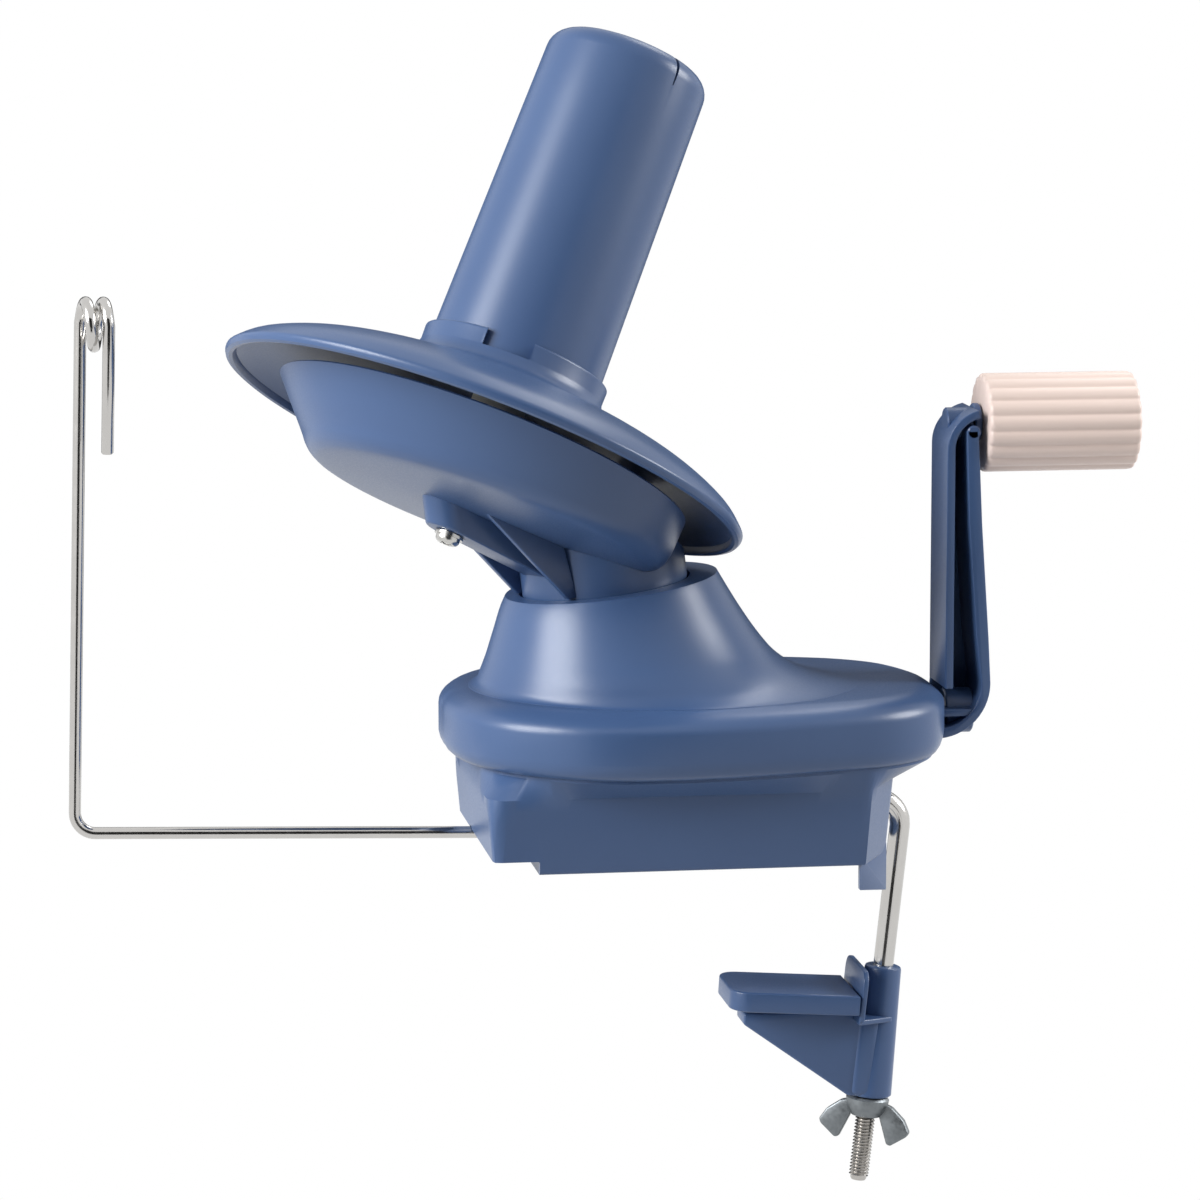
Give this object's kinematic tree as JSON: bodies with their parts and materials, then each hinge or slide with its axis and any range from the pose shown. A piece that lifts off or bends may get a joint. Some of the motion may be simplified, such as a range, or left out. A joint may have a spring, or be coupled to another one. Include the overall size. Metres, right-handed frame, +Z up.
{
  "type": "yarn ball winder",
  "caption": "Hand-cranked yarn ball winder: a geared, leaning head swings a tilted winding spool, with a wire yarn guide and a clamp for the table edge.",
  "frame": {"origin": "where the head's spin axis meets the table seat under the case", "axes": "+X to the crank, +Y to the back, +Z up off the table"},
  "size_m": [0.3101, 0.1517, 0.3404],
  "materials": {
    "blue_plastic": "satin moulded",
    "knob_plastic": "satin moulded",
    "gear_plastic": "moulded acetal",
    "bright_steel": "bright nickel plate",
    "screw_steel": "zinc plated",
    "zinc": "dull zinc plate",
    "bearing_bronze": "sintered bronze"
  },
  "bodies": {
    "base": {"lower_case": "blue_plastic", "upper_cover": "blue_plastic", "case_screws": "screw_steel", "post_bracket": "gear_plastic", "bracket_screws": "screw_steel", "centre_post": "bright_steel", "thrust_sleeve": "bearing_bronze", "sun_gear": "gear_plastic", "post_nut": "screw_steel", "shaft_bush_inner": "bearing_bronze", "shaft_bush_outer": "bearing_bronze", "clamp_rod": "bright_steel", "rod_clip": "zinc"},
    "neck": {"swing_head": "blue_plastic", "neck_pinion": "gear_plastic", "pinion_screws": "screw_steel", "neck_bush_lower": "bearing_bronze", "neck_bush_upper": "bearing_bronze", "spool_bush": "bearing_bronze"},
    "spool": {"spool_flange": "blue_plastic", "spool_tube": "blue_plastic", "spool_gear": "gear_plastic", "spool_axle": "bright_steel", "axle_nut": "screw_steel", "axle_washer": "screw_steel", "axle_screw": "screw_steel"},
    "crank": {"crank_arm": "blue_plastic", "crank_shaft": "bright_steel", "crank_gear": "gear_plastic", "crank_screw": "screw_steel", "knob_pin": "bright_steel"},
    "knob": {"knob_grip": "knob_plastic", "knob_cap": "knob_plastic"},
    "guide": {"yarn_guide": "bright_steel"},
    "jaw": {"clamp_jaw": "blue_plastic", "jaw_pad": "blue_plastic"},
    "nut": {"wing_nut": "zinc"}
  },
  "joints": [
    {"name": "neck_spin", "type": "hinge", "parent": "base", "child": "neck", "pos_m": [0, 0, 0], "axis": [-0.1219, 0, 0.9925], "continuous": true},
    {"name": "spool_spin", "type": "hinge", "parent": "neck", "child": "spool", "pos_m": [-0.0217, 0, 0.17677], "axis": [0.3872, 0.244, 0.8891], "continuous": true},
    {"name": "crank_turn", "type": "hinge", "parent": "base", "child": "crank", "pos_m": [0.09, 0, 0.0375], "axis": [-1, 0, 0], "continuous": true},
    {"name": "knob_spin", "type": "hinge", "parent": "crank", "child": "knob", "pos_m": [0.12, 0, 0.122], "axis": [1, 0, 0], "continuous": true},
    {"name": "guide_swivel", "type": "hinge", "parent": "base", "child": "guide", "pos_m": [-0.046, 0.012, 0.0033], "axis": [0.9998, 0, -0.0209], "range_deg": [-85, 85]},
    {"name": "jaw_slide", "type": "slide", "parent": "base", "child": "jaw", "axis": [0.1089, 0, 0.9941], "range_m": [-0.012, 0.028]},
    {"name": "nut_turn", "type": "hinge", "parent": "jaw", "child": "nut", "pos_m": [0.06917, 0, -0.08151], "axis": [0.1089, 0, 0.9941], "range_deg": [-4356, 10116]}
  ],
  "couplings": [
    {"joint": "spool_spin", "follows": "neck_spin", "ratio": 0.41667},
    {"joint": "crank_turn", "follows": "neck_spin", "ratio": 0.33333},
    {"joint": "nut_turn", "follows": "jaw_slide", "rad_per_m": 6283.2}
  ]
}
